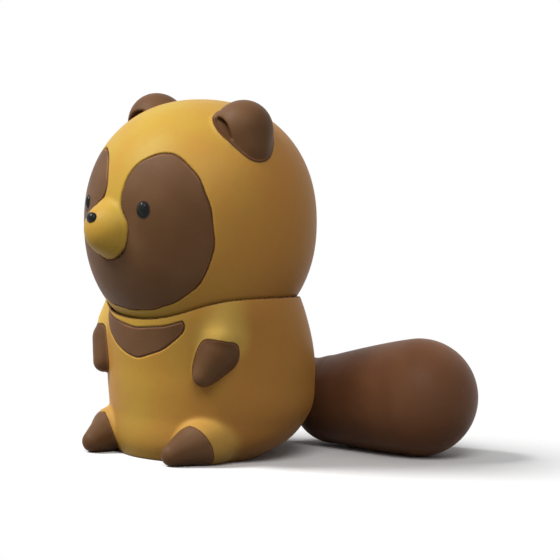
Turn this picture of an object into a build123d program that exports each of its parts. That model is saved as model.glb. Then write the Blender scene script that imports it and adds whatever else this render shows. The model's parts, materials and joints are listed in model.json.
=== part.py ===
from build123d import *
import os
from math import copysign, cos, pi, radians, sin, sqrt

# A seated tanuki figure in hollow soft vinyl. The body stands on the floor at the
# origin and faces -Y, and the figure's own left side is +X. A ball head turns on a
# snap-in spigot in a cup on the body, and a club tail turns on a plug in its back.
# Nose and eyes are glossy ovoid beads, pressed into sockets in the head.

os.makedirs("parts", exist_ok=True)

# Moulded walls and fits
wall = 2.0
running_fit = 0.06
seat_gap = 0.3
bead_fit = 0.03

# Head: a ball of revolution, slightly squarer than an ellipse
head_radius = 24.4
head_half_height = 25.7
head_centre_height = 48.85
head_forward = 5.9
squareness_share = 2.18
head_nod_deg = 3.5
head_turn_deg = 8.0
outline_steps = 14

# Snout, nose and eyes, on the head's own axes
snout_radius = 6.3
snout_half_length = 7.6
snout_reach = 28.8
snout_height = 0.1
nose_half_width = 1.45
nose_half_depth = 1.0
nose_half_height = 1.2
nose_height = 2.6
nose_sink = 0.2
eye_half_width = 1.25
eye_half_depth = 0.9
eye_half_height = 1.6
eye_height = 4.7
eye_sink = 0.35
eye_spread_deg = 22.8

# Ears: round hoods with a hollow that opens towards the face
ear_half_width = 6.4
ear_half_height = 7.0
ear_offset = 14.2
ear_height = 19.6
ear_forward = 0.3
ear_lean_deg = 38.0
hollow_radius = 4.4
hollow_half_length = 5.2
hollow_forward = 6.4
hollow_drop = 1.0

# Neck: the body's spigot and its flange, and the collar in the head
spigot_radius = 8.0
spigot_bore = 6.0
flange_radius = 9.6
flange_thickness = 1.5
collar_radius = 12.0
collar_thickness = 4.8

# Body: height, half width, half depth and setback of each section, floor to neck
base_half_width = 14.2
base_half_depth = 14.2
base_setback = -6.6
heel_height = 2.4
heel_half_width = 17.4
heel_half_depth = 17.4
heel_setback = -4.4
rump_height = 9.0
rump_half_width = 21.0
rump_half_depth = 20.9
rump_setback = -0.6
belly_height = 17.0
belly_half_width = 21.9
belly_half_depth = 21.8
belly_setback = -0.4
chest_height = 31.0
chest_half_width = 21.3
chest_half_depth = 19.7
chest_sideways = 0.7
chest_setback = -3.3
neck_height = 39.0
neck_half_width = 19.2
neck_half_depth = 15.4
neck_sideways = 1.1
neck_setback = -4.6

# Arms: a shoulder that runs down into a mitten paw
paw_radius = 4.3
paw_half_length = 6.6
paw_height = 20.9
paw_reach = 21.9
paw_spread_deg = 47.0
paw_slant_deg = 34.0
shoulder_radius = 4.4
shoulder_half_length = 7.0
shoulder_height = 26.0
shoulder_reach = 18.8
shoulder_slant_deg = 8.0

# Legs: a thigh at the body's foot, and a blunt foot that points forwards
foot_offset = 11.9
foot_reach = 26.7
foot_half_length = 14.0
foot_radius = 4.35
foot_height = 4.2
foot_droop_deg = 7.0
thigh_offset = 12.8
thigh_forward = 13.8
thigh_half_length = 7.2
thigh_radius = 5.0
thigh_height = 4.6

# Tail: a plug and a neck that bends into a club, which lies on the floor
boss_radius = 7.3
boss_face = 22.0
face_gap = 0.1
tail_height = 12.0
tail_neck_radius = 6.9
tail_elbow_reach = 29.6
plug_radius = 3.8
plug_bore = 2.0
plug_flange_radius = 4.9
flange_room = 0.5
socket_wall = 3.0
club_root_x = 7.6
club_root_y = 31.9
club_root_height = 9.9
club_root_radius = 9.4
club_root_share = 0.16
club_middle_radius = 11.0
club_middle_share = 0.55
club_end_share = 0.3
bulb_x = 27.4
bulb_y = 35.6
bulb_radius = 12.7
tail_sink = 0.15


def ball(grow):
    """The head's ball about its own centre, grown all round by a clearance or wall."""
    points = []
    for step in range(outline_steps + 1):
        angle = pi * step / outline_steps
        across = sin(angle) ** (2 / squareness_share)
        up = copysign(abs(cos(angle)) ** (2 / squareness_share), cos(angle))
        points.append(((head_radius + grow) * across, (head_half_height + grow) * up))
    with BuildPart() as form:
        with BuildSketch(Plane.XZ):
            with BuildLine():
                Spline(points, tangents=[(1, 0), (-1, 0)])
                Line(points[-1], points[0])
            make_face()
        revolve(axis=Axis.Z)
    return form.part


def spheroid(half_length, radius):
    """An ellipse turned about Z, with its long or short way along Z."""
    with BuildPart() as form:
        Sphere(radius)
        scale(by=(1, 1, half_length / radius))
    return form.part


def bead(half_width, half_depth, half_height):
    """A small ovoid that looks along Z, with its height along Y."""
    with BuildPart() as form:
        Sphere(half_width)
        scale(by=(1, half_height / half_width, half_depth / half_width))
    return form.part


def nose_bead(grow):
    """The nose, grown all round by the clearance of its socket."""
    return bead(nose_half_width + grow, nose_half_depth + grow, nose_half_height + grow)


def eye_bead(grow):
    """One eye, grown all round by the clearance of its socket."""
    return bead(eye_half_width + grow, eye_half_depth + grow, eye_half_height + grow)


neck_frame = Plane(
    origin=(0, -head_forward, head_centre_height),
    x_dir=(1, 0, 0),
    z_dir=(0, -sin(radians(head_nod_deg)), cos(radians(head_nod_deg))),
)
head_frame = Plane(neck_frame.location * Rotation(0, 0, -head_turn_deg))


def skin_reach(height):
    """How far the head's ball reaches from its axis at a height above its centre."""
    share = abs(height / head_half_height) ** squareness_share
    return head_radius * (1 - share) ** (1 / squareness_share)


# Places on the head, in its own axes: the face looks along -Y
snout_centre = snout_reach - snout_half_length
snout_place = Plane(origin=(0, -snout_centre, snout_height), z_dir=(0, -1, 0))
nose_rise_share = (nose_height - snout_height) / snout_radius
nose_reach = snout_centre + snout_half_length * sqrt(1 - nose_rise_share**2) - nose_sink
nose_place = Plane(origin=(0, -nose_reach, nose_height), x_dir=(1, 0, 0), z_dir=(0, -1, 0))
eye_reach = skin_reach(eye_height) - eye_sink
eye_turn = radians(eye_spread_deg)
left_eye_place, right_eye_place = [
    Plane(
        origin=(side * eye_reach * sin(eye_turn), -eye_reach * cos(eye_turn), eye_height),
        x_dir=(cos(eye_turn), side * sin(eye_turn), 0),
        z_dir=(side * sin(eye_turn), -cos(eye_turn), 0),
    )
    for side in (1, -1)
]
lean = radians(ear_lean_deg)
ear_places = [
    Plane(
        origin=(side * ear_offset, -ear_forward, ear_height),
        x_dir=(cos(lean), 0, -side * sin(lean)),
        z_dir=(side * sin(lean), 0, cos(lean)),
    )
    for side in (1, -1)
]

# Places on the body, in the figure's own axes
tail_place = Plane(origin=(0, boss_face, tail_height), x_dir=(1, 0, 0), z_dir=(0, 1, 0))


def arm_place(side, reach, height, slant_deg):
    """A plane on one arm whose Z runs down it, slanting towards the front."""
    spread = radians(paw_spread_deg)
    slant = radians(slant_deg)
    outward = Vector(side * sin(spread), -cos(spread), 0)
    across = Vector(-side * cos(spread), -sin(spread), 0)
    origin = outward * reach + Vector(0, belly_setback, height)
    return Plane(
        origin=origin,
        x_dir=-outward,
        z_dir=across * sin(slant) - Vector(0, 0, cos(slant)),
    )


# One ear, standing along Z with its hollow towards -Y
with BuildPart() as ear:
    add(spheroid(ear_half_height, ear_half_width))
    with Locations(Plane(origin=(0, -hollow_forward, -hollow_drop), z_dir=(0, -1, 0))):
        add(spheroid(hollow_half_length, hollow_radius), mode=Mode.SUBTRACT)

# The space inside the head, over the collar that snaps round the spigot
collar_top = collar_thickness - head_half_height
with BuildPart() as head_space:
    add(ball(-wall))
    with Locations(snout_place):
        add(spheroid(snout_half_length - wall, snout_radius - wall))
    with Locations((0, 0, collar_top)):
        Cylinder(
            collar_radius,
            head_half_height,
            align=(Align.CENTER, Align.CENTER, Align.MAX),
            mode=Mode.SUBTRACT,
        )

# Head, upright on its own axes
with BuildPart() as head_form:
    with Locations(*ear_places):
        add(ear.part)
    with Locations(snout_place):
        add(spheroid(snout_half_length, snout_radius))
    add(ball(0))
    add(head_space.part, mode=Mode.SUBTRACT)
    with Locations(nose_place):
        add(nose_bead(bead_fit), mode=Mode.SUBTRACT)
    with Locations(left_eye_place, right_eye_place):
        add(eye_bead(bead_fit), mode=Mode.SUBTRACT)
    Cylinder(
        spigot_radius + running_fit,
        2 * head_half_height,
        align=(Align.CENTER, Align.CENTER, Align.MAX),
        mode=Mode.SUBTRACT,
    )

with BuildPart(head_frame) as head:
    add(head_form.part)
with BuildPart(head_frame) as nose:
    with Locations(nose_place):
        add(nose_bead(0))
with BuildPart(head_frame) as left_eye:
    with Locations(left_eye_place):
        add(eye_bead(0))
with BuildPart(head_frame) as right_eye:
    with Locations(right_eye_place):
        add(eye_bead(0))


def body_sections(inset):
    """A smooth stack of oval sections, set in from the body's skin."""
    with BuildPart() as form:
        for height, half_width, half_depth, sideways, setback in (
            (inset, base_half_width, base_half_depth, 0, base_setback),
            (heel_height + inset, heel_half_width, heel_half_depth, 0, heel_setback),
            (rump_height, rump_half_width, rump_half_depth, 0, rump_setback),
            (belly_height, belly_half_width, belly_half_depth, 0, belly_setback),
            (chest_height, chest_half_width, chest_half_depth, chest_sideways, chest_setback),
            (neck_height, neck_half_width, neck_half_depth, neck_sideways, neck_setback),
        ):
            with BuildSketch(Plane((sideways, setback, height))):
                Ellipse(half_depth - inset, half_width - inset, rotation=90)
        loft()
    return form.part


def arm(side):
    """A shoulder and a mitten paw, on the left for a side of 1 and on the right for -1."""
    with BuildPart() as form:
        with Locations(arm_place(side, paw_reach, paw_height, paw_slant_deg)):
            add(spheroid(paw_half_length, paw_radius))
        with Locations(arm_place(side, shoulder_reach, shoulder_height, shoulder_slant_deg)):
            add(spheroid(shoulder_half_length, shoulder_radius))
    return form.part


def leg(side):
    """A thigh and a foot that points forwards, on the left for a side of 1."""
    droop = radians(foot_droop_deg)
    foot_centre = (side * foot_offset, foot_half_length - foot_reach, foot_height)
    thigh_centre = (side * thigh_offset, -thigh_forward, thigh_height)
    with BuildPart() as form:
        with Locations(Plane(foot_centre, (1, 0, 0), (0, -cos(droop), -sin(droop)))):
            add(spheroid(foot_half_length, foot_radius))
        with Locations(Plane(thigh_centre, (1, 0, 0), (0, -1, 0))):
            add(spheroid(thigh_half_length, thigh_radius))
    return form.part


# The body's outer form, with the cup for the head cut into its top
with BuildPart() as body_form:
    add(body_sections(0))
    add(arm(1))
    add(arm(-1))
    add(leg(1))
    add(leg(-1))
    with Locations(tail_place):
        Cylinder(boss_radius, boss_radius, align=(Align.CENTER, Align.CENTER, Align.MAX))
    split(bisect_by=Plane.XY, keep=Keep.TOP)
    with Locations(neck_frame):
        add(ball(seat_gap), mode=Mode.SUBTRACT)

# The space inside the body, under the wall of the cup
with BuildPart() as body_space:
    add(body_sections(wall))
    with Locations(neck_frame):
        add(ball(seat_gap + wall), mode=Mode.SUBTRACT)

# The spigot on the neck's axis: its foot lies in the wall of the cup
spigot_foot = -head_half_height - seat_gap - wall / 2
spigot_top = collar_top + seat_gap + flange_thickness
with BuildPart() as spigot:
    with BuildSketch(Plane.XY.offset(spigot_foot)):
        Circle(spigot_radius)
    extrude(amount=spigot_top - spigot_foot)
    with BuildSketch(Plane.XY.offset(spigot_top)):
        Circle(flange_radius)
    extrude(amount=-flange_thickness)

# The way through the spigot and the wall of the cup
with BuildPart() as spigot_way:
    with BuildSketch(Plane.XY.offset(spigot_top)):
        Circle(spigot_bore)
    extrude(amount=spigot_foot - wall - spigot_top)

with BuildPart() as body:
    add(body_form.part)
    add(body_space.part, mode=Mode.SUBTRACT)
    with Locations(neck_frame):
        add(spigot.part)
    with Locations(neck_frame):
        add(spigot_way.part, mode=Mode.SUBTRACT)
    # The tail's socket: a plain hole, and room for the flange behind its wall
    with Locations(tail_place):
        Cylinder(
            plug_radius + running_fit,
            boss_face,
            align=(Align.CENTER, Align.CENTER, Align.MAX),
            mode=Mode.SUBTRACT,
        )
    with Locations(tail_place.offset(-socket_wall)):
        Cylinder(
            plug_flange_radius + flange_room,
            boss_radius,
            align=(Align.CENTER, Align.CENTER, Align.MAX),
            mode=Mode.SUBTRACT,
        )

bulb_height = bulb_radius - tail_sink
club_root = Vector(club_root_x, club_root_y, club_root_height)
club_line = Vector(bulb_x, bulb_y, bulb_height) - club_root
club_run = club_line.length
club_place = Plane(origin=club_root, z_dir=club_line.normalized())


def club(inset):
    """The club about its own axis Z, from its rounded root to the end of the bulb."""
    root = (0, inset - club_root_radius * club_end_share)
    equator = (bulb_radius - inset, club_run)
    with BuildPart() as form:
        with BuildSketch(Plane.XZ):
            with BuildLine():
                Spline(
                    root,
                    (club_root_radius - inset, club_root_share * club_run),
                    (club_middle_radius - inset, club_middle_share * club_run),
                    equator,
                    tangents=[(1, 0), (0, 1)],
                )
                CenterArc((0, club_run), bulb_radius - inset, 0, 90)
                Line((0, club_run + bulb_radius - inset), root)
            make_face()
        revolve(axis=Axis.Z)
    return form.part


# The elbow, where the neck turns from the body's back towards the club
elbow = Vector(0, tail_elbow_reach, tail_height)
elbow_line = club_root - elbow
elbow_place = Plane(origin=elbow, z_dir=elbow_line.normalized())

# Tail: outer form, the space inside it, and the plug with its flange
with BuildPart() as tail:
    with Locations(club_place):
        add(club(0))
    with BuildSketch(tail_place.offset(face_gap)):
        Circle(tail_neck_radius)
    extrude(amount=tail_elbow_reach - boss_face - face_gap)
    with Locations(elbow):
        Sphere(tail_neck_radius)
    with BuildSketch(elbow_place):
        Circle(tail_neck_radius)
    extrude(amount=elbow_line.length)
    split(bisect_by=tail_place.offset(face_gap), keep=Keep.TOP)
    with Locations(club_place):
        add(club(wall), mode=Mode.SUBTRACT)
    with BuildSketch(tail_place.offset(face_gap)):
        Circle(plug_radius)
    extrude(amount=-socket_wall - face_gap - seat_gap - flange_thickness)
    with BuildSketch(tail_place.offset(-socket_wall - seat_gap)):
        Circle(plug_flange_radius)
    extrude(amount=-flange_thickness)
    with Locations(tail_place.offset(tail_elbow_reach - boss_face)):
        Cylinder(
            plug_bore,
            tail_elbow_reach,
            align=(Align.CENTER, Align.CENTER, Align.MAX),
            mode=Mode.SUBTRACT,
        )
    split(bisect_by=Plane.XY, keep=Keep.TOP)

for piece, name in (
    (body, "body"),
    (head, "head"),
    (nose, "nose"),
    (left_eye, "left_eye"),
    (right_eye, "right_eye"),
    (tail, "tail"),
):
    piece.part.label = name
    export_step(piece.part, "parts/" + name + ".step")
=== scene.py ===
"""A seated tanuki figure in painted soft vinyl, dressed over its CAD frame.

Each moulding is a smooth field, a signed distance in millimetres that is zero on
the skin. A net of quads is laid on the skin and made finer along the engraved
lines. Distances to the paint's edge and to other marks go with it as attributes,
and the materials paint from those.
"""

import json
from math import ceil, cos, radians, sin

import bmesh
import bpy
import numpy as np
from mathutils import Matrix, Vector


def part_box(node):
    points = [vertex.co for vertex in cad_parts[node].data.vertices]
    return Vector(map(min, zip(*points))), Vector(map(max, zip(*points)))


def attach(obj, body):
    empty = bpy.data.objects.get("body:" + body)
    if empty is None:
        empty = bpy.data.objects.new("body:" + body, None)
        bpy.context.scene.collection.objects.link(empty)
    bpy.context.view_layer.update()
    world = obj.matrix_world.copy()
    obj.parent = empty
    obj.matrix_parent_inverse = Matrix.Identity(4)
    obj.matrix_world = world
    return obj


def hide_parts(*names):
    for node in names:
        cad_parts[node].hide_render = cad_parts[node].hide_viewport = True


bl_info = {
    "name": "Painted tanuki figure",
    "version": (1, 0, 0),
    "blender": (4, 5, 0),
    "location": "3D View > Sidebar > Tanuki",
    "description": "Builds the skins, paint and stage of a seated tanuki figure",
    "category": "Add Mesh",
}

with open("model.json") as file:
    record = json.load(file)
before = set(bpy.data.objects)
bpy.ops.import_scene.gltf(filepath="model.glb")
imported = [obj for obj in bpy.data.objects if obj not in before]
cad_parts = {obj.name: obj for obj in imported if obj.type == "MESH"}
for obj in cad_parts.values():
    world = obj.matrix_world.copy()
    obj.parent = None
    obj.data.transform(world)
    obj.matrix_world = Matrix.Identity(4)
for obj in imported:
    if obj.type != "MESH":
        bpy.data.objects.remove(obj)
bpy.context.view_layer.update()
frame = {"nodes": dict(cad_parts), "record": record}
MM = 0.001
JOINTS = {joint["name"]: joint for joint in frame["record"]["behaviour"]["joints"]}


# Sizes in mm, angles in radians. The figure faces -Y, and its own left side is +X.
NECK_CENTRE = np.array(JOINTS["neck_swivel"]["pos_m"]) / MM
NECK_AXIS = np.array(JOINTS["neck_swivel"]["axis"])
TAIL_CENTRE = np.array(JOINTS["tail_swivel"]["pos_m"]) / MM
# How far the head is turned on its neck at rest
HEAD_TURN = radians(-8)

# The head's ball and, in its axes, the snout and the left ear
BALL_RADIUS = 24.38
BALL_HALF_HEIGHT = 25.68
BALL_SQUARENESS = 2.18
SEAT_GAP = 0.3

SNOUT_CENTRE = (0, -21.2, 0.1)
SNOUT_HALVES = (6.3, 7.6, 6.3)
EAR_CENTRE = (14.2, -0.3, 19.59)
EAR_HALVES = (6.4, 6.4, 7.0)
EAR_LEAN = radians(38)
EAR_LOBE_CENTRE = (17.5, -0.8, 15.8)
EAR_LOBE_RADIUS, EAR_LOBE_BLEND = 3.8, 2.5
# The hollow is placed in the ear's axes. Its lip stands up round it: how high, how far
# off the ear's form its middle lies, and over what it fades across and along.
HOLLOW_CENTRE = (-0.2, -6.4, -0.9)
HOLLOW_HALVES = (4.2, 5.2, 3.9)
HOLLOW_LIP = 0.4
HOLLOW_LIP_MIDDLE, HOLLOW_LIP_HALF_WIDTH, HOLLOW_LIP_FADE = 0.45, 0.4, 0.8

# Black round the eyes, a little wider than the beads
EYE_SPREAD = radians(23.4)
EYE_HEIGHT = 4.6
EYE_HALF_WIDTH, EYE_HALF_HEIGHT = 1.55, 1.72

# Body: height, half width, half depth, sideways and setback of each section
BODY_SECTIONS = (
    (0, 14.2, 14.2, 0, -6.6),
    (2.4, 17.4, 17.4, 0, -4.4),
    (9, 21.2, 20.9, -0.2, -0.6),
    (17, 22.2, 21.8, -0.3, -0.4),
    (31, 21.5, 19.7, 0.5, -3.3),
    (39, 19.4, 15.4, 1.3, -4.6),
)
BELLY_SETBACK = -0.4
# The body's left shoulder is fuller than its right
FULLNESS = 2.0
FULL_SPREAD, FULL_HALF_SPREAD = radians(43), radians(27)
FULL_HEIGHT, FULL_HALF_HEIGHT = 33.5, 6.0
ARM_SPREAD = radians(47)
# Limbs are round cones from one ball to another. An arm's balls have a reach from
# the body's axis, a way round from the arm's middle towards the back, and a height.
SHOULDER_TOP, SHOULDER_TOP_RADIUS = (21.0, 0.6, 32.0), 2.5
SHOULDER, SHOULDER_RADIUS = (22.2, 0.2, 26.8), 3.35
RIGHT_SLEEVE_CLOSER = 1.0
PALM, PALM_RADIUS = (21.5, -0.3, 23.3), 4.1
PAW_TIP, PAW_TIP_RADIUS = (22.8, -3.1, 18.6), 2.3
HEEL, HEEL_RADIUS = (12.3, -16.7, 4.4), 4.6
TOE, TOE_RADIUS = (11.6, -23.4, 2.3), 2.3
THIGH_CENTRE = (12.8, -13.8, 4.6)
THIGH_HALVES = (5.0, 7.2, 5.0)
KNEE_BLEND = 1.0
# The painted highlight on a thigh is this much smaller than the one on an arm
THIGH_HIGHLIGHT_LESS = 1.8
BOSS_RADIUS, BOSS_HALF_LENGTH = 7.3, 7.3

# The tail starts at its flat face on the body's boss, and its club lies on the floor
TAIL_FACE = 22.1
TAIL_NECK_RADIUS = 6.9
ELBOW = (0, 29.6, 12.0)
CLUB_ROOT = (7.2, 31.9, 10.1)
CLUB_ROOT_RADIUS = 9.7
BULB = (27.4, 35.6, 12.55)
BULB_RADIUS = 12.7
CLUB_SWELL = 1.3

# Engraved and painted fields. The mask is drawn on the ball unrolled: across is
# the way round the ball at its widest, up is the height over its centre.
# Below that centre it is one chin, above it two lobes, and a yellow blaze runs down
# between the lobes to the snout.
MASK_MIDDLE = 1.15
MASK_HALF_WIDTH = 23.75
MASK_DEPTH = 16.6
LOBE_OFFSET = 13.0
LOBE_OUTER_HALF = 10.75
LOBE_INNER_HALF = 11.8
BLAZE_MIDDLE = 1.45
BLAZE_HALF_WIDTH = 2.0
BLAZE_FILLET = 2.2
LOBE_HEIGHT = 15.8
MASK_SQUARENESS = 2.5
EAR_PAINT_REACH = 0.2
HOLLOW_PAINT_REACH, HOLLOW_PAINT_SHARPNESS = 0.3, 2
# The mouth: a crease beside and under the snout
MOUTH_TURN, MOUTH_HALF_TURN = radians(38), radians(34)
MOUTH_OFFSET = 0.05
MOUTH_HALF_WIDTH = 0.1
MOUTH_FADE = 0.5
MOUTH_BLEND = 0.1
# The crescent on the chest: a bowl under a brim that sags in the middle
CRESCENT_MIDDLE = -0.6
CRESCENT_HALF_WIDTH = 11.9
CRESCENT_ROUNDNESS = 1.55
CRESCENT_TOP = 28.6
CRESCENT_DEPTH = 7.5
CRESCENT_SAG = 1.1
CRESCENT_SAG_HALF = 8.8
# The brown of a paw ends at its cuff, and that of a foot at a slanting line behind
# its toe
PAW_PAINT_REACH = 0.2
CUFF_HEIGHT = 26.2
CUFF_LEAN = 0.13
CUFF_ROUND = 1.2
TOE_PAINT_REACH = 0.4
FOOT_PAINT_REACH = 15.5
FOOT_PAINT_LEAN = 0.5
FOOT_PAINT_INNER = 0.8
# How far a line drawn by hand strays, in two waves of so many radians per mm across
# and up, and a distance that no mark reaches
HAND_STRAY = 0.15
FIRST_WAVE, SECOND_WAVE, WAVE_SHIFT = (0.8, 0.5), (0.35, 0.9), 2
FAR_OFF = 50.0

# The nets: the least number to divide by, room round a CAD node, and the bands beside
# an engraved line where the net is made finer, both in steps of the net
TINY = 1e-9
MARGIN_STEPS = 4
BAND_STEPS = (3, 1.2)

# How the paint lies. A pair is where a ramp starts and ends: in mm from the paint's
# outline or from a mark, in metres along an axis, or in a noise's own share. A share
# is how much of a colour lies over the one below it. Blots and grains are in mm.
WOBBLE, WOBBLE_SIZE = 0.25, 1.6
COVER_RAMP = (-0.06, 0.08)
LINE_RAMP, LINE_SHARE = (0.04, 0.26), 0.75
# Thin paint just inside a line, in patches
LIP_INSET, LIP_RAMP, LIP_SHARE = 0.3, (0.03, 0.2), 0.4
LIP_PATCH_SIZE, LIP_PATCH_RAMP = 5, (0.35, 0.6)
# Painted shade in the seam under the head and in the mouth's crease
PAINTED_CREASE_SHADE_SHARE = 0.9
SEAM_SHADE_RAMP, MOUTH_SHADE_RAMP = (0.22, 0.5), (0.08, 0.4)
EYE_RAMP = (-0.2, 0.35)
CLOUD_SIZE, YELLOW_CLOUD_RAMP, BROWN_CLOUD_RAMP = 14, (0.3, 0.75), (0.3, 0.7)
FLECK_SIZE, FLECK_RAMP, FLECK_SHARE = 0.9, (0.55, 0.8), 0.08
# The painted shade, orange brown on the flanks and back, grows sideways and backwards and fades
# upwards, each per metre
PAINTED_SHADE_SIDEWAYS, PAINTED_SHADE_BACKWARDS, PAINTED_SHADE_UP = 25, 20, 4
PAINTED_SHADE_FRONT = -0.015
PAINTED_SHADE_CLOUDS, PAINTED_SHADE_RAMP, PAINTED_SHADE_SHARE = 0.25, (-0.6, 0.25), 0.8
# Painted shade: brown near the floor
PAINTED_LOW_SHADE_RAMP, PAINTED_LOW_SHADE_SHARE = (0, 0.018), 0.3
# Painted highlights on the upper arms and thighs, under which part of the painted shade is taken
# away
PAINTED_HIGHLIGHT_RAMP, PAINTED_HIGHLIGHT_SHARE, LESS_SHADE_UNDER_HIGHLIGHT = (-0.6, 3.8), 0.8, 0.5
# Painted shadow darkens the tail beside the body, and painted shade darkens it again towards its
# end
TAIL_CLOUD_SIZE, TAIL_FLECK_SHARE = 12, 0.1
TAIL_SHADE_STRAY, TAIL_SHADE_SHARE, FAR_TAIL_SHADE_SHARE = 0.008, 0.6, 0.8
NEAR_TAIL_SHADOW_RAMP, FAR_TAIL_SHADE_RAMP = (0.008, 0.026), (0.029, 0.041)
VINYL_ROUGHNESS, TAIL_ROUGHNESS = 0.48, 0.46
PAINT_ROUGHER, FLECK_ROUGHNESS = 0.04, 0.12
VINYL_SPECULAR = 0.12
GRAIN_SIZE, GRAIN_SHARE, DIMPLE_SIZE, GRAIN_DEPTH = 0.5, 0.5, 3, 0.05
DUST_SIZE, DUST_SHARE, DUST_ROUGHNESS = 0.4, 0.2, 0.12
BEAD_ROUGHNESS = 0.25
BEAD_SHINE = {"Coat Weight": 0.1, "Coat Roughness": 0.15, "Specular IOR Level": 0.1}

# The stage, in metres and watts. The roll is in radians, the sensor's width in mm, and
# the focal length in pixels of the photograph.
CAMERA_PLACE = Vector((0.4137, -0.43595, 0.084))
CAMERA_AIM = Vector((0.009594, 0.009104, 0.037077))
CAMERA_ROLL = 0.045
CAMERA_FOCAL_PIXELS = 2850
PHOTO_PIXELS = 560
SENSOR_WIDTH = 36
NEAREST_SEEN, FARTHEST_SEEN = 0.01, 10
# Each lamp's place, width and power
LAMPS = {"key": ((-0.32, -0.46, 0.66), 0.35, 7.3), "front": ((0.36, -0.34, 0.56), 0.4, 1.9)}
LAMP_AIM = Vector((0, 0, 0.035))
SKY_STRENGTH = 0.25
WHITE = (1, 1, 1, 1)
FLOOR_HALF = 1.5
FLOOR_FADE = (0.055, 0.13)
FLOOR_SPECK_SIZE, FLOOR_SPECK_RAMP = 20, (0.2, 0.8)
FLOOR_PALE, FLOOR_PALER = (0.96, 0.96, 0.96, 1), (0.98, 0.98, 0.98, 1)
FLOOR_DIM = (0.2, 0.2, 0.2, 1)
FLOOR_SHINE = {"Roughness": 0.9, "Specular IOR Level": 0.0}


# Distance fields
def ovoid(points, halves):
    """Distance to an ellipsoid about the origin, with these half axes."""
    halves = np.array(halves, float)
    near = np.linalg.norm(points / halves, axis=1)
    far = np.linalg.norm(points / halves**2, axis=1)
    return near * (near - 1) / np.maximum(far, TINY)


def round_cone(points, start, end, start_radius, end_radius):
    """Distance to two balls and the cone that touches both."""
    start, end = np.array(start, float), np.array(end, float)
    line = end - start
    length = np.linalg.norm(line)
    line = line / length
    along = (points - start) @ line
    across = np.linalg.norm(points - start - along[:, None] * line, axis=1)
    lean = (start_radius - end_radius) / length
    share = np.clip((along - across * lean / np.sqrt(1 - lean**2)) / length, 0, 1)
    radius = start_radius + (end_radius - start_radius) * share
    return np.hypot(along - share * length, across) - radius


def swollen_cone(points, start, end, start_radius, end_radius, swell):
    """Distance to a club whose radius swells, ever more slowly, to its end ball."""
    start, end = np.array(start, float), np.array(end, float)
    line = end - start
    share = np.clip((points - start) @ line / (line @ line), 0, 1)
    radius = end_radius - (end_radius - start_radius) * (1 - share) ** swell
    return np.linalg.norm(points - start - share[:, None] * line, axis=1) - radius


def joined(first, second, soft):
    """Both forms, with a fillet about as wide as soft where they meet."""
    share = np.clip(0.5 + 0.5 * (second - first) / soft, 0, 1)
    return second + (first - second) * share - soft * share * (1 - share)


def cut(form, tool, soft):
    """The form less the tool, with the edge rounded over."""
    return -joined(-form, tool, soft)


def turned(points, centre, x_axis, z_axis):
    """The points as seen from a centre with its own X and Z."""
    y_axis = np.cross(z_axis, x_axis)
    return (points - np.array(centre, float)) @ np.array([x_axis, y_axis, z_axis], float).T


def superellipse(across, up, half_width, half_height, power=2):
    """How far out a point is, as a share: 1 on the outline. Over 2 it is squarer."""
    return (abs(across / half_width) ** power + abs(up / half_height) ** power) ** (1 / power)


def through(heights, values, at):
    """A smooth curve through the values at those heights."""
    heights, values = np.array(heights, float), np.array(values, float)
    slopes = np.gradient(values, heights)
    at = np.clip(at, heights[0], heights[-1])
    place = np.clip(np.searchsorted(heights, at) - 1, 0, len(heights) - 2)
    run = heights[place + 1] - heights[place]
    share = (at - heights[place]) / run
    back = 1 - share
    return (
        values[place] * back**2 * (1 + 2 * share)
        + values[place + 1] * share**2 * (1 + 2 * back)
        + run * share * back * (slopes[place] * back - slopes[place + 1] * share)
    )


def outline_distance(out, across, up):
    """A plane outline's distance, from how far out it says a point is."""
    step = 0.01
    least_slope = 0.02
    value = out(across, up)
    slope_across = (out(across + step, up) - out(across - step, up)) / (2 * step)
    slope_up = (out(across, up + step) - out(across, up - step)) / (2 * step)
    return (value - 1) / np.maximum(np.hypot(slope_across, slope_up), least_slope)


def by_hand(along, up):
    """How far a line drawn by hand strays from its path: two slow waves that cross."""
    first = np.sin(along * FIRST_WAVE[0] + up * FIRST_WAVE[1])
    second = np.sin(up * SECOND_WAVE[1] - along * SECOND_WAVE[0] + WAVE_SHIFT)
    return HAND_STRAY * (first + second) / 2


# The head
def in_head(points):
    """Points in the head's own axes: the face looks along -Y."""
    side = np.array([1.0, 0, 0])
    fore = np.cross(NECK_AXIS, side)
    x_axis = side * cos(HEAD_TURN) + fore * sin(HEAD_TURN)
    return turned(points, NECK_CENTRE, x_axis, NECK_AXIS)


def ball(points, grow=0.0):
    """Distance to the head's ball, in its own axes."""
    round_it = np.hypot(points[:, 0], points[:, 1])
    out = superellipse(
        round_it, points[:, 2], BALL_RADIUS + grow, BALL_HALF_HEIGHT + grow, BALL_SQUARENESS
    )
    return (out - 1) * BALL_RADIUS


def ear_view(points, side):
    """Head points in the axes of one ear."""
    centre = np.array(EAR_CENTRE) * (side, 1, 1)
    x_axis = (cos(EAR_LEAN), 0, -side * sin(EAR_LEAN))
    z_axis = (side * sin(EAR_LEAN), 0, cos(EAR_LEAN))
    return turned(points, centre, x_axis, z_axis)


def ear_hood(points, side):
    """Distance to one ear with its lobe, before it is hollowed, in head points."""
    lobe_centre = np.array(EAR_LOBE_CENTRE) * (side, 1, 1)
    lobe = np.linalg.norm(points - lobe_centre, axis=1) - EAR_LOBE_RADIUS
    return joined(ovoid(ear_view(points, side), EAR_HALVES), lobe, EAR_LOBE_BLEND)


def ear_hollow(points, side):
    """Distance to the hollow of one ear, in head points."""
    centre = np.array(HOLLOW_CENTRE) * (side, 1, 1)
    return ovoid(ear_view(points, side) - centre, HOLLOW_HALVES)


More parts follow.
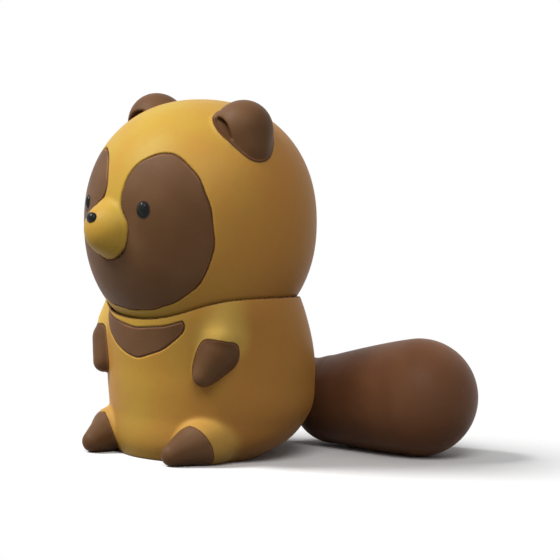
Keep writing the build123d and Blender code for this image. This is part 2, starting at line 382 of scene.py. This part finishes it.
def mask_edge(points):
    """Distance along the skin to the mask's outline, less than zero inside it."""
    across = np.arctan2(points[:, 0], -points[:, 1]) * BALL_RADIUS - MASK_MIDDLE
    up = points[:, 2]

    def chin(across, up):
        return superellipse(across, up, MASK_HALF_WIDTH, MASK_DEPTH, MASK_SQUARENESS)

    def lobes(across, up):
        offset = abs(across) - LOBE_OFFSET
        outer = superellipse(offset, up, LOBE_OUTER_HALF, LOBE_HEIGHT)
        inner = superellipse(offset, up, LOBE_INNER_HALF, LOBE_HEIGHT, MASK_SQUARENESS)
        return np.where(offset > 0, outer, inner)

    upper = outline_distance(lobes, across, up)
    edge = np.where(up > 0, upper, outline_distance(chin, across, up))
    blaze = np.maximum(abs(across + MASK_MIDDLE - BLAZE_MIDDLE) - BLAZE_HALF_WIDTH, -up)
    snout = np.hypot(points[:, 0] - SNOUT_CENTRE[0], up - SNOUT_CENTRE[2]) - SNOUT_HALVES[0]
    snout = np.where(points[:, 1] < 0, snout, FAR_OFF)
    edge = cut(edge, joined(blaze, snout, BLAZE_FILLET), BLAZE_FILLET)
    return edge + by_hand(across, up)


def head_form(points, look):
    """The head with ears and snout, before its lines are engraved."""
    own = in_head(points)
    form = ball(own)
    form = joined(form, ovoid(own - np.array(SNOUT_CENTRE), SNOUT_HALVES), look.snout_blend)
    for side in (1, -1):
        hollow = ear_hollow(own, side)
        hood = ear_hood(own, side)
        off_middle = (hood - HOLLOW_LIP_MIDDLE) / HOLLOW_LIP_HALF_WIDTH
        off_hollow = np.maximum(hollow, 0) / HOLLOW_LIP_FADE
        form = form - HOLLOW_LIP * np.exp(-(off_middle**2) - off_hollow**2)
        ear = cut(hood, hollow, look.edge_round)
        form = joined(form, ear, look.ear_blend)
    return form


def head_paint(points):
    """Distance to the edge of the head's brown paint: the mask and the ears."""
    own = in_head(points)
    edge = mask_edge(own)
    for side in (1, -1):
        hood = ear_hood(own, side)
        within = ear_hollow(own, side) * HOLLOW_PAINT_SHARPNESS - HOLLOW_PAINT_REACH
        hollow = np.maximum(within, hood * HOLLOW_PAINT_SHARPNESS)
        edge = np.minimum(edge, np.minimum(hood - ball(own) - EAR_PAINT_REACH, hollow))
    return edge


def eye_edge(points):
    """Distance to the outline of the black that is painted round each eye."""
    own = in_head(points)
    across = np.arctan2(own[:, 0], -own[:, 1]) * BALL_RADIUS
    side = abs(across) - EYE_SPREAD * BALL_RADIUS
    out = superellipse(side, own[:, 2] - EYE_HEIGHT, EYE_HALF_WIDTH, EYE_HALF_HEIGHT)
    return (out - 1) * EYE_HALF_WIDTH


def mouth_edge(points):
    """Distance to the crease under the snout's cheeks."""
    own = in_head(points)
    across, up = own[:, 0] - SNOUT_CENTRE[0], own[:, 2] - SNOUT_CENTRE[2]
    turn = (np.arctan2(abs(across), -up) - MOUTH_TURN) / MOUTH_HALF_TURN
    beside = abs(np.hypot(across, up) - SNOUT_HALVES[0] - MOUTH_OFFSET)
    return np.where(own[:, 1] < 0, beside + MOUTH_FADE * turn**2, FAR_OFF)


def head_lines(points):
    """Distance to the head's engraved lines."""
    edge = abs(mask_edge(in_head(points)))
    return joined(edge, mouth_edge(points) - MOUTH_HALF_WIDTH, MOUTH_BLEND)


# The body
def arm_point(side, reach, around, height):
    """A place on one arm."""
    across = side * (reach * sin(ARM_SPREAD) + around * cos(ARM_SPREAD))
    along = around * sin(ARM_SPREAD) - reach * cos(ARM_SPREAD)
    return np.array([across, along + BELLY_SETBACK, height])


def sleeve(points, side):
    """Distance to one upper arm. The right one lies closer to the body."""
    closer = RIGHT_SLEEVE_CLOSER if side < 0 else 0
    top, end = (
        arm_point(side, reach - closer, around, height)
        for reach, around, height in (SHOULDER_TOP, SHOULDER)
    )
    return round_cone(points, top, end, SHOULDER_TOP_RADIUS, SHOULDER_RADIUS)


def paw(points, side):
    """Distance to one mitten paw."""
    palm, tip = arm_point(side, *PALM), arm_point(side, *PAW_TIP)
    return round_cone(points, palm, tip, PALM_RADIUS, PAW_TIP_RADIUS)


def foot(points, side):
    """Distance to one foot."""
    mirror = np.array([side, 1, 1])
    return round_cone(points, HEEL * mirror, TOE * mirror, HEEL_RADIUS, TOE_RADIUS)


def seat(points):
    """Distance to the cup that the head sits in."""
    return ball(in_head(points), SEAT_GAP)


def thigh(points, side):
    """Distance to one thigh."""
    return ovoid(points - np.array(THIGH_CENTRE) * (side, 1, 1), THIGH_HALVES)


def painted_highlight_edge(points):
    """Distance to the nearest upper arm or thigh, where highlights are painted."""
    arms = np.minimum(sleeve(points, 1), sleeve(points, -1))
    thighs = np.minimum(thigh(points, 1), thigh(points, -1))
    return np.minimum(arms, thighs + THIGH_HIGHLIGHT_LESS)


def torso(points):
    """Distance to the torso's stack of oval sections."""
    heights, widths, depths, sideways, setbacks = zip(*BODY_SECTIONS)
    up = points[:, 2]
    half_width = through(heights, widths, up)
    half_depth = through(heights, depths, up)
    across = points[:, 0] - through(heights, sideways, up)
    along = points[:, 1] - through(heights, setbacks, up)
    out = np.hypot(across / half_width, along / half_depth)
    around = (np.arctan2(points[:, 0], -points[:, 1]) - FULL_SPREAD) / FULL_HALF_SPREAD
    rise = (up - FULL_HEIGHT) / FULL_HALF_HEIGHT
    full = FULLNESS * np.exp(-(around**2) - rise**2)
    return (out - 1) * half_depth - full


def body_form(points, look):
    """The body with its limbs, boss and cup, before its lines are engraved."""
    form = torso(points)
    for side in (1, -1):
        leg = joined(foot(points, side), thigh(points, side), KNEE_BLEND)
        form = joined(form, sleeve(points, side), look.shoulder_blend)
        form = joined(form, paw(points, side), look.limb_blend)
        form = joined(form, leg, look.limb_blend)
    from_axis = points - TAIL_CENTRE
    boss = np.hypot(from_axis[:, 0], from_axis[:, 2]) - BOSS_RADIUS
    boss = np.maximum(boss, abs(from_axis[:, 1] + BOSS_HALF_LENGTH) - BOSS_HALF_LENGTH)
    form = joined(form, boss, look.edge_round)
    form = cut(form, seat(points), look.edge_round)
    return cut(form, points[:, 2], look.edge_round)


def crescent_edge(points):
    """Distance to the outline of the crescent on the chest, less than zero inside."""
    across, up = points[:, 0] - CRESCENT_MIDDLE, points[:, 2]

    def out(sideways, height):
        drop = height - CRESCENT_TOP
        return superellipse(
            sideways, drop, CRESCENT_HALF_WIDTH, CRESCENT_DEPTH, CRESCENT_ROUNDNESS
        )

    bowl = outline_distance(out, across, up)
    brim = CRESCENT_TOP - CRESCENT_SAG + CRESCENT_SAG * (across / CRESCENT_SAG_HALF) ** 2
    edge = np.maximum(bowl, up - brim) + by_hand(across, up)
    return np.where(points[:, 1] < 0, edge, FAR_OFF)


def body_paint(points):
    """Distance to the edge of the body's brown paint: crescent, paws and feet."""
    edge = crescent_edge(points)
    trunk = torso(points)
    for side in (1, -1):
        middle = arm_point(side, *PALM)
        backwards = arm_point(side, 0, 1, 0) - arm_point(side, 0, 0, 0)
        cuff = points[:, 2] - CUFF_HEIGHT + CUFF_LEAN * (points - middle) @ backwards
        hand = cut(paw(points, side) - trunk - PAW_PAINT_REACH, -cuff, CUFF_ROUND)
        inner = np.maximum(HEEL[0] - side * points[:, 0], 0) * FOOT_PAINT_INNER
        back = points[:, 1] + FOOT_PAINT_REACH + FOOT_PAINT_LEAN * points[:, 2] + inner
        toe = np.maximum(foot(points, side) - trunk - TOE_PAINT_REACH, back)
        edge = np.minimum(edge, np.minimum(hand, toe))
    return edge


# The tail
def tail_form(points, look):
    """The tail: its neck from the body's boss, and the club on the floor."""
    stub = round_cone(points, (0, TAIL_FACE, ELBOW[2]), ELBOW, TAIL_NECK_RADIUS, TAIL_NECK_RADIUS)
    reach = round_cone(points, ELBOW, CLUB_ROOT, TAIL_NECK_RADIUS, TAIL_NECK_RADIUS)
    club = swollen_cone(points, CLUB_ROOT, BULB, CLUB_ROOT_RADIUS, BULB_RADIUS, CLUB_SWELL)
    form = joined(np.minimum(stub, reach), club, look.tail_blend)
    form = cut(form, points[:, 1] - TAIL_FACE, look.edge_round)
    return cut(form, points[:, 2], look.edge_round)


# The skins
def net(field, low, high, step):
    """The skin where a field is zero, as points and quads of about that step.

    Each cell of a grid that the skin crosses gives a point, and each edge of the grid
    that it crosses gives a quad of the four cells round that edge.
    """
    counts = [ceil((top - bottom) / step) + 1 for bottom, top in zip(low, high)]
    rows = [bottom + step * np.arange(count) for bottom, count in zip(low, counts)]
    grid = np.stack(np.meshgrid(*rows, indexing="ij"), axis=-1).reshape(-1, 3)
    inside = (field(grid) < 0).reshape(counts)

    filled = sum(
        inside[i : counts[0] - 1 + i, j : counts[1] - 1 + j, k : counts[2] - 1 + k].astype(int)
        for i in (0, 1)
        for j in (0, 1)
        for k in (0, 1)
    )
    crossed = (filled > 0) & (filled < 8)
    number = np.full(crossed.shape, -1)
    number[crossed] = np.arange(crossed.sum())
    points = np.array(low) + (np.argwhere(crossed) + 0.5) * step

    quads = []
    for axis in range(3):
        ahead = np.diff(inside.astype(int), axis=axis)
        for turn in (1, -1):
            cells = np.argwhere(ahead == turn)
            first, second = (axis + 1) % 3, (axis + 2) % 3
            corners = []
            for back_first, back_second in ((1, 1), (0, 1), (0, 0), (1, 0)):
                corner = cells.copy()
                corner[:, first] -= back_first
                corner[:, second] -= back_second
                corners.append(number[tuple(corner.T)])
            quads.append(np.stack(corners[::-1] if turn == 1 else corners, axis=1))
    return points, np.concatenate(quads)


def settled(points, field, rounds=5):
    """The points moved onto the skin, straight down the field's slope."""
    reach = 0.02
    least_steepness = 0.05
    longest_move = 0.3
    for _ in range(rounds):
        value = field(points)
        slope = np.stack(
            [(field(points + d) - field(points - d)) / (2 * reach) for d in np.eye(3) * reach],
            axis=1,
        )
        steep = np.maximum((slope**2).sum(axis=1), least_steepness)
        move = slope * (value / steep)[:, None]
        size = np.linalg.norm(move, axis=1, keepdims=True)
        points = points - move * np.minimum(1, longest_move / np.maximum(size, TINY))
    return points


def evened(points, quads, field, rounds=4):
    """The points slid along the skin until their spacing is even."""
    edges = np.concatenate([quads[:, [a, (a + 1) % 4]] for a in range(4)])
    for _ in range(rounds):
        total = np.zeros_like(points)
        count = np.zeros(len(points))
        np.add.at(total, edges[:, 0], points[edges[:, 1]])
        np.add.at(count, edges[:, 0], 1)
        points = settled(points + (total / count[:, None] - points) / 2, field, rounds=2)
    return points


def coordinates(mesh):
    """A mesh's points as rows of numbers."""
    flat = np.empty(len(mesh.vertices) * 3)
    mesh.vertices.foreach_get("co", flat)
    return flat.reshape(-1, 3)


def place(mesh, points):
    """Writes points back into a mesh."""
    mesh.vertices.foreach_set("co", points.ravel())
    mesh.update()


def refined(mesh, near):
    """Splits the faces that have a point where near says so."""
    form = bmesh.new()
    form.from_mesh(mesh)
    form.verts.ensure_lookup_table()
    wanted = near(coordinates(mesh))
    edges = {
        edge
        for face in form.faces
        if any(wanted[vertex.index] for vertex in face.verts)
        for edge in face.edges
    }
    bmesh.ops.subdivide_edges(form, edges=list(edges), cuts=1, use_grid_fill=True)
    form.to_mesh(mesh)
    form.free()


def moulding(name, node, field, lines, marks, look):
    """A skin on a field, engraved along its lines, that stands for a CAD node.

    Each mark is a distance that the skin carries for its material.
    """
    low, high = (np.array(corner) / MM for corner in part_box(node))
    margin = MARGIN_STEPS * look.net_step
    points, quads = net(field, low - margin, high + margin, look.net_step)
    points = evened(settled(points, field), quads, field)

    mesh = bpy.data.meshes.new(name)
    mesh.from_pydata(points.tolist(), [], quads.tolist())
    if lines is not None:

        def engraved(at):
            band = np.exp(-((lines(at) / look.line_width) ** 2))
            return field(at) + look.line_depth * band

        for steps in BAND_STEPS:
            refined(mesh, lambda at: abs(lines(at)) < steps * look.net_step)
            place(mesh, settled(coordinates(mesh), field, rounds=2))
        place(mesh, settled(coordinates(mesh), engraved))

    at = coordinates(mesh)
    for mark, distance in marks.items():
        layer = mesh.attributes.new(mark, "FLOAT", "POINT")
        layer.data.foreach_set("value", distance(at))
    place(mesh, at * MM)
    mesh.shade_smooth()
    obj = bpy.data.objects.new(name, mesh)
    bpy.context.collection.objects.link(obj)
    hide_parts(node)
    return obj


# The materials
class Wire:
    """A number that flows between nodes, used like a number."""

    def __init__(self, nodes, socket):
        self.nodes, self.socket = nodes, socket

    def maths(self, operation, *values):
        """A Math node on these values."""
        node = self.nodes.add("ShaderNodeMath", {"operation": operation}, dict(enumerate(values)))
        return Wire(self.nodes, node.outputs[0])

    def __add__(self, other):
        return self.maths("ADD", self, other)

    def __sub__(self, other):
        return self.maths("SUBTRACT", self, other)

    def __rsub__(self, other):
        return self.maths("SUBTRACT", other, self)

    def __mul__(self, other):
        return self.maths("MULTIPLY", self, other)

    def __abs__(self):
        return self.maths("ABSOLUTE", self)

    __radd__ = __add__
    __rmul__ = __mul__

    def at_least(self, least):
        """The larger of the two."""
        return self.maths("MAXIMUM", self, least)

    def rising(self, start, end):
        """0 up to start, 1 from end on, and smooth between."""
        node = self.nodes.add(
            "ShaderNodeMapRange",
            {"interpolation_type": "SMOOTHSTEP"},
            {"Value": self, "From Min": start, "From Max": end},
        )
        return Wire(self.nodes, node.outputs["Result"])


class Nodes:
    """The nodes of one material, or of the world."""

    def __init__(self, owner):
        self.owner = owner
        owner.use_nodes = True
        owner.node_tree.nodes.clear()

    def add(self, kind, settings, values):
        """A node of a kind, with its settings made first and then its sockets fed."""
        tree = self.owner.node_tree
        node = tree.nodes.new(kind)
        for name, setting in settings.items():
            setattr(node, name, setting)
        for name, value in values.items():
            source = value.socket if isinstance(value, Wire) else value
            if isinstance(source, bpy.types.NodeSocket):
                tree.links.new(source, node.inputs[name])
            else:
                node.inputs[name].default_value = source
        return node

    def where(self):
        """Where a point is, in metres, at rest."""
        return self.add("ShaderNodeTexCoord", {}, {}).outputs["Object"]

    def along(self, axis):
        """Where a point is along one axis, in metres, at rest."""
        node = self.add("ShaderNodeSeparateXYZ", {}, {"Vector": self.where()})
        return Wire(self, node.outputs[axis])

    def noise(self, size, detail=2.0, roughness=0.5):
        """Noise from 0 to 1 whose blots are about size mm wide."""
        scale = 1 / (size * MM)
        node = self.add(
            "ShaderNodeTexNoise",
            {},
            {"Vector": self.where(), "Scale": scale, "Detail": detail, "Roughness": roughness},
        )
        return Wire(self, node.outputs["Fac"])

    def fine_noise(self, size):
        """Noise of small sharp flecks about size mm wide."""
        return self.noise(size, detail=4, roughness=0.6)

    def mix(self, factor, first, second):
        """The first colour at 0, the second at 1."""
        node = self.add("ShaderNodeMix", {"data_type": "RGBA"}, {0: factor, 6: first, 7: second})
        return node.outputs[2]

    def attribute(self, name):
        """A number that the mesh carries."""
        node = self.add("ShaderNodeAttribute", {"attribute_name": name}, {})
        return Wire(self, node.outputs["Fac"])

    def seen(self):
        """1 on rays from the camera and on rays that mirror or pass through, else 0."""
        rays = self.add("ShaderNodeLightPath", {}, {}).outputs
        seen = Wire(self, rays["Is Camera Ray"])
        for ray in ("Is Glossy Ray", "Is Transmission Ray"):
            seen = seen.at_least(Wire(self, rays[ray]))
        return seen

    def blended(self, factor, first, second, output):
        """Feeds the output with the first node's shader at 0 and the second's at 1."""
        shaders = {0: factor, 1: first.outputs[0], 2: second.outputs[0]}
        mix = self.add("ShaderNodeMixShader", {}, shaders)
        self.add(output, {}, {"Surface": mix.outputs[0]})

    def grain(self):
        """The Normal of vinyl: a fine grain over soft dimples."""
        height = self.noise(GRAIN_SIZE, detail=3) * GRAIN_SHARE + self.noise(DIMPLE_SIZE)
        bump = self.add(
            "ShaderNodeBump", {}, {"Height": height, "Distance": GRAIN_DEPTH * MM, "Strength": 1.0}
        )
        return {"Normal": bump.outputs["Normal"], "Specular IOR Level": VINYL_SPECULAR}

    def finish(self, colour, roughness, shine):
        """The surface itself, and its material."""
        values = {"Base Color": colour, "Roughness": roughness, **shine}
        surface = self.add("ShaderNodeBsdfPrincipled", {}, values)
        self.add("ShaderNodeOutputMaterial", {}, {"Surface": surface.outputs["BSDF"]})
        return self.owner


def rgba(colour):
    """A property's colour with full cover."""
    return (*colour, 1.0)


def mustard(paint, look, cloud, limbs):
    """Bare yellow vinyl with painted shade: orange brown to the sides and back, brown low down. On
    the body, painted highlights on the arms and thighs.
    """
    # Painted shade: orange brown that grows towards the sides and back
    along = paint.along(1).at_least(PAINTED_SHADE_FRONT)
    painted_shade = abs(paint.along(0)) * PAINTED_SHADE_SIDEWAYS + along * PAINTED_SHADE_BACKWARDS
    painted_shade = painted_shade - paint.along(2) * PAINTED_SHADE_UP
    painted_shade = (painted_shade + (cloud - 0.5) * PAINTED_SHADE_CLOUDS).rising(*PAINTED_SHADE_RAMP)
    # Painted shade: brown near the floor
    low = paint.along(2).rising(*PAINTED_LOW_SHADE_RAMP)
    # Painted highlights on the arms and thighs, with less painted shade under them
    if limbs:
        painted_highlight = 1 - paint.attribute("painted_highlight_edge").rising(*PAINTED_HIGHLIGHT_RAMP)
        painted_shade = painted_shade * (1 - painted_highlight * LESS_SHADE_UNDER_HIGHLIGHT)
    yellow = paint.mix(cloud.rising(*YELLOW_CLOUD_RAMP), rgba(look.yellow), rgba(look.ochre))
    yellow = paint.mix(painted_shade * PAINTED_SHADE_SHARE, yellow, rgba(look.painted_shade_colour))
    yellow = paint.mix((1 - low) * PAINTED_LOW_SHADE_SHARE, yellow, rgba(look.brown))
    if limbs:
        yellow = paint.mix(painted_highlight * PAINTED_HIGHLIGHT_SHARE, yellow, rgba(look.highlight))
    return yellow


def with_crease_shade(paint, colour, mark, ramp, look):
    """The colour with painted shade along a crease that the skin carries as a mark."""
    line = 1 - paint.attribute(mark).rising(*ramp)
    return paint.mix(line * PAINTED_CREASE_SHADE_SHARE, colour, rgba(look.dark_lines_and_shade))


def painted_vinyl(name, look, eyes=False, limbs=False):
    """Mustard vinyl with brown paint inside the edges that the skin carries."""
    paint = Nodes(bpy.data.materials.new(name))
    wobble = (paint.noise(WOBBLE_SIZE, detail=3) - 0.5) * WOBBLE
    edge = paint.attribute("paint_edge") + wobble
    covered = 1 - edge.rising(*COVER_RAMP)
    line = 1 - abs(edge).rising(*LINE_RAMP)
    patches = paint.noise(LIP_PATCH_SIZE).rising(*LIP_PATCH_RAMP)
    lip = (1 - abs(edge + LIP_INSET).rising(*LIP_RAMP)) * patches
    cloud, fleck = paint.noise(CLOUD_SIZE), paint.fine_noise(FLECK_SIZE)

    brown = paint.mix(cloud.rising(*BROWN_CLOUD_RAMP), rgba(look.brown), rgba(look.brown_light))
    colour = paint.mix(covered, mustard(paint, look, cloud, limbs), brown)
    colour = paint.mix(lip * LIP_SHARE, colour, rgba(look.lip_colour))
    colour = paint.mix(line * LINE_SHARE, colour, rgba(look.dark_lines_and_shade))
    colour = paint.mix(fleck.rising(*FLECK_RAMP) * FLECK_SHARE, colour, rgba(look.dark_lines_and_shade))
    # Painted shade in the seam under the head, and on the head in the mouth's crease
    if limbs:
        colour = with_crease_shade(paint, colour, "seat_edge", SEAM_SHADE_RAMP, look)
    if eyes:
        colour = with_crease_shade(paint, colour, "mouth_edge", MOUTH_SHADE_RAMP, look)
        ring = 1 - (paint.attribute("eye_edge") + wobble).rising(*EYE_RAMP)
        colour = paint.mix(ring, colour, rgba(look.bead))
    rough = VINYL_ROUGHNESS + covered * PAINT_ROUGHER + (fleck - 0.5) * FLECK_ROUGHNESS
    return paint.finish(colour, rough, paint.grain())


def brown_vinyl(name, look):
    """Vinyl painted brown all over, a little redder than the mask."""
    paint = Nodes(bpy.data.materials.new(name))
    cloud, fleck = paint.noise(TAIL_CLOUD_SIZE), paint.fine_noise(FLECK_SIZE)
    # Painted shadow beside the body and painted shade towards the club's end
    across = paint.along(0) + (cloud - 0.5) * TAIL_SHADE_STRAY
    painted_tail_shade = 1 - across.rising(*NEAR_TAIL_SHADOW_RAMP) + across.rising(*FAR_TAIL_SHADE_RAMP) * FAR_TAIL_SHADE_SHARE
    specks = fleck.rising(*FLECK_RAMP) * TAIL_FLECK_SHARE
    brown, light = rgba(look.tail_brown), rgba(look.tail_light)
    colour = paint.mix(cloud.rising(*BROWN_CLOUD_RAMP), brown, light)
    colour = paint.mix(painted_tail_shade * TAIL_SHADE_SHARE, colour, rgba(look.dark_lines_and_shade))
    colour = paint.mix(specks, colour, rgba(look.dark_lines_and_shade))
    return paint.finish(colour, TAIL_ROUGHNESS + (fleck - 0.5) * FLECK_ROUGHNESS, paint.grain())


def bead_gloss(name, look):
    """Polished black, with faint dust."""
    paint = Nodes(bpy.data.materials.new(name))
    dust = paint.fine_noise(DUST_SIZE).rising(*FLECK_RAMP)
    colour = paint.mix(dust * DUST_SHARE, rgba(look.bead), rgba(look.bead_dust))
    return paint.finish(colour, BEAD_ROUGHNESS + dust * DUST_ROUGHNESS, BEAD_SHINE)


def floor_white():
    """A floor that keeps the shadow near the figure and is white to the camera beyond.

    To all other rays it is dim, so that it throws little light up at the figure.
    """
    paint = Nodes(bpy.data.materials.new("floor_white"))
    seen = paint.seen()
    length = paint.add("ShaderNodeVectorMath", {"operation": "LENGTH"}, {0: paint.where()})
    far = Wire(paint, length.outputs["Value"]).rising(*FLOOR_FADE)
    speck = paint.noise(FLOOR_SPECK_SIZE).rising(*FLOOR_SPECK_RAMP)
    lit = paint.mix(speck, FLOOR_PALE, FLOOR_PALER)
    dim = paint.add("ShaderNodeBsdfPrincipled", {}, {"Base Color": FLOOR_DIM, **FLOOR_SHINE})
    pale = paint.add("ShaderNodeBsdfPrincipled", {}, {"Base Color": lit, **FLOOR_SHINE})
    white = paint.add("ShaderNodeEmission", {}, {"Color": WHITE, "Strength": 1.0})
    near = paint.add("ShaderNodeMixShader", {}, {0: seen, 1: dim.outputs[0], 2: pale.outputs[0]})
    paint.blended(seen * far, near, white, "ShaderNodeOutputMaterial")
    return paint.owner


# The properties
def size_property(name, description, default, least=0.0):
    """A size in mm that the panel shows."""
    return bpy.props.FloatProperty(
        name=name, description=description + ", in mm", default=default, min=least
    )


def colour_property(name, description, default):
    """A colour that the panel shows."""
    return bpy.props.FloatVectorProperty(
        name=name, description=description, default=default, subtype="COLOR", size=3, min=0, max=1
    )


class TanukiLook(bpy.types.PropertyGroup):
    """Sizes in millimetres and colours that a user would change"""

    net_step: size_property("Net step", "Width of a skin's quads", 0.42, least=0.2)
    snout_blend: size_property("Snout blend", "Width of the fillet round the snout", 1.0)
    ear_blend: size_property("Ear blend", "Width of the fillet round the ears", 0.7)
    shoulder_blend: size_property("Shoulder blend", "Width of the fillet of the arms", 1.8)
    limb_blend: size_property("Limb blend", "Width of the fillets of paws and legs", 0.9)
    tail_blend: size_property("Tail blend", "Width of the fillet at the club's root", 1.2)
    edge_round: size_property("Edge rounding", "Rounding of moulded edges", 0.5)
    line_width: size_property("Line width", "Half width of the engraved lines", 0.2)
    line_depth: size_property("Line depth", "Depth of the engraved lines", 0.34)
    yellow: colour_property("Vinyl", "Mustard vinyl", (0.50, 0.33, 0.048))
    ochre: colour_property("Vinyl blots", "Deeper blots in the vinyl", (0.50, 0.285, 0.040))
    # Orange brown of the painted shade on the flanks and back
    painted_shade_colour: colour_property("Airbrush", "Orange brown of the flanks", (0.47, 0.19, 0.047))
    # Colour of the painted highlights on the arms and thighs
    highlight: colour_property("Lights", "Sprayed lights on arms and thighs", (0.74, 0.48, 0.11))
    brown: colour_property("Paint", "Brown of mask, paws and feet", (0.11, 0.051, 0.020))
    brown_light: colour_property("Paint light", "Thin places in the brown", (0.15, 0.074, 0.033))
    lip_colour: colour_property("Line lips", "Thin paint beside the lines", (0.36, 0.14, 0.07))
    # Dark colour of the lines along the paint's edge and of the flecks, and of the painted shade
    # in creases and on the tail
    dark_lines_and_shade: colour_property("Lines", "Paint that gathers in lines", (0.045, 0.016, 0.008))
    tail_brown: colour_property("Tail", "Brown of the tail", (0.23, 0.096, 0.042))
    tail_light: colour_property("Tail light", "Thin places in the tail", (0.29, 0.128, 0.060))
    bead: colour_property("Bead", "Black of nose and eyes", (0.008, 0.009, 0.009))
    bead_dust: colour_property("Bead dust", "Dust on nose and eyes", (0.10, 0.11, 0.10))


# The operators
class MouldHead(bpy.types.Operator):
    """Makes the head's skin with ears, snout and mask"""

    bl_idname = "tanuki.mould_head"
    bl_label = "Mould head"

    def execute(self, context):
        look = context.scene.tanuki_look
        marks = {"paint_edge": head_paint, "eye_edge": eye_edge, "mouth_edge": mouth_edge}
        skin = moulding(
            "head_skin", "head", lambda at: head_form(at, look), head_lines, marks, look
        )
        skin.data.materials.append(painted_vinyl("head_vinyl", look, eyes=True))
        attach(skin, "head")
        return {"FINISHED"}


class MouldBody(bpy.types.Operator):
    """Makes the body's skin with limbs, cup and crescent"""

    bl_idname = "tanuki.mould_body"
    bl_label = "Mould body"

    def execute(self, context):
        look = context.scene.tanuki_look
        marks = {"paint_edge": body_paint, "painted_highlight_edge": painted_highlight_edge, "seat_edge": seat}
        skin = moulding(
            "body_skin", "body", lambda at: body_form(at, look), crescent_edge, marks, look
        )
        skin.data.materials.append(painted_vinyl("body_vinyl", look, limbs=True))
        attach(skin, "torso")
        return {"FINISHED"}


class MouldTail(bpy.types.Operator):
    """Makes the tail's skin"""

    bl_idname = "tanuki.mould_tail"
    bl_label = "Mould tail"

    def execute(self, context):
        look = context.scene.tanuki_look
        skin = moulding("tail_skin", "tail", lambda at: tail_form(at, look), None, {}, look)
        skin.data.materials.append(brown_vinyl("tail_vinyl", look))
        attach(skin, "tail")
        return {"FINISHED"}


class PolishBeads(bpy.types.Operator):
    """Gives nose and eyes their black gloss"""

    bl_idname = "tanuki.polish_beads"
    bl_label = "Polish nose and eyes"

    def execute(self, context):
        gloss = bead_gloss("bead_gloss", context.scene.tanuki_look)
        for node in ("nose", "left_eye", "right_eye"):
            bead = frame["nodes"][node]
            bead.data.materials.clear()
            bead.data.materials.append(gloss)
        return {"FINISHED"}


class BuildStage(bpy.types.Operator):
    """Sets the floor, the lamps, the world and the camera"""

    bl_idname = "tanuki.build_stage"
    bl_label = "Build stage"

    def execute(self, context):
        scene = context.scene
        self.floor(scene)
        self.sky(scene)
        for name, (place, width, power) in LAMPS.items():
            self.lamp(scene, name, place, width, power)
        self.camera(scene)
        scene.view_settings.view_transform = "Standard"
        return {"FINISHED"}

    def floor(self, scene):
        """A wide plain sheet under the figure."""
        mesh = bpy.data.meshes.new("floor")
        corners = [
            (x * FLOOR_HALF, y * FLOOR_HALF, 0) for x, y in ((-1, -1), (1, -1), (1, 1), (-1, 1))
        ]
        mesh.from_pydata(corners, [], [(0, 1, 2, 3)])
        mesh.materials.append(floor_white())
        floor = bpy.data.objects.new("floor", mesh)
        scene.collection.objects.link(floor)

    def sky(self, scene):
        """Soft light from all round, which the camera sees as plain white."""
        sky = Nodes(bpy.data.worlds.new("studio"))
        soft, white = (
            sky.add("ShaderNodeBackground", {}, {"Color": WHITE, "Strength": strength})
            for strength in (SKY_STRENGTH, 1.0)
        )
        sky.blended(sky.seen(), soft, white, "ShaderNodeOutputWorld")
        scene.world = sky.owner

    def lamp(self, scene, name, place, width, power):
        """A round soft lamp, aimed at the figure's middle."""
        light = bpy.data.lights.new(name, "AREA")
        light.shape = "DISK"
        light.size = width
        light.energy = power
        lamp = bpy.data.objects.new(name, light)
        lamp.location = place
        aim = LAMP_AIM - lamp.location
        lamp.rotation_euler = aim.to_track_quat("-Z", "Y").to_euler()
        scene.collection.objects.link(lamp)

    def camera(self, scene):
        """The photograph's view, with its slight roll."""
        data = bpy.data.cameras.new("camera")
        data.sensor_width = SENSOR_WIDTH
        data.lens = CAMERA_FOCAL_PIXELS * SENSOR_WIDTH / PHOTO_PIXELS
        data.clip_start, data.clip_end = NEAREST_SEEN, FARTHEST_SEEN
        camera = bpy.data.objects.new("camera", data)
        back = (CAMERA_PLACE - CAMERA_AIM).normalized()
        right = Vector((0, 0, 1)).cross(back).normalized()
        up = back.cross(right)
        rolled_right = right * cos(CAMERA_ROLL) + up * sin(CAMERA_ROLL)
        rolled_up = up * cos(CAMERA_ROLL) - right * sin(CAMERA_ROLL)
        turn = Matrix((rolled_right, rolled_up, back)).transposed()
        camera.matrix_world = Matrix.Translation(CAMERA_PLACE) @ turn.to_4x4()
        scene.collection.objects.link(camera)
        scene.camera = camera


STEPS = (MouldHead, MouldBody, MouldTail, PolishBeads, BuildStage)


class TanukiPanel(bpy.types.Panel):
    """The figure's steps and its look"""

    bl_idname = "VIEW3D_PT_tanuki"
    bl_label = "Tanuki figure"
    bl_space_type = "VIEW_3D"
    bl_region_type = "UI"
    bl_category = "Tanuki"

    def draw(self, context):
        for step in STEPS:
            self.layout.operator(step.bl_idname)
        look = context.scene.tanuki_look
        for name in TanukiLook.__annotations__:
            self.layout.prop(look, name)


CLASSES = (TanukiLook, *STEPS, TanukiPanel)


def register():
    for cls in CLASSES:
        bpy.utils.register_class(cls)
    bpy.types.Scene.tanuki_look = bpy.props.PointerProperty(type=TanukiLook)


def unregister():
    del bpy.types.Scene.tanuki_look
    for cls in reversed(CLASSES):
        bpy.utils.unregister_class(cls)


def main():
    register()
    for step in STEPS:
        group, name = step.bl_idname.split(".")
        getattr(getattr(bpy.ops, group), name)()


if __name__ == "__main__":
    main()
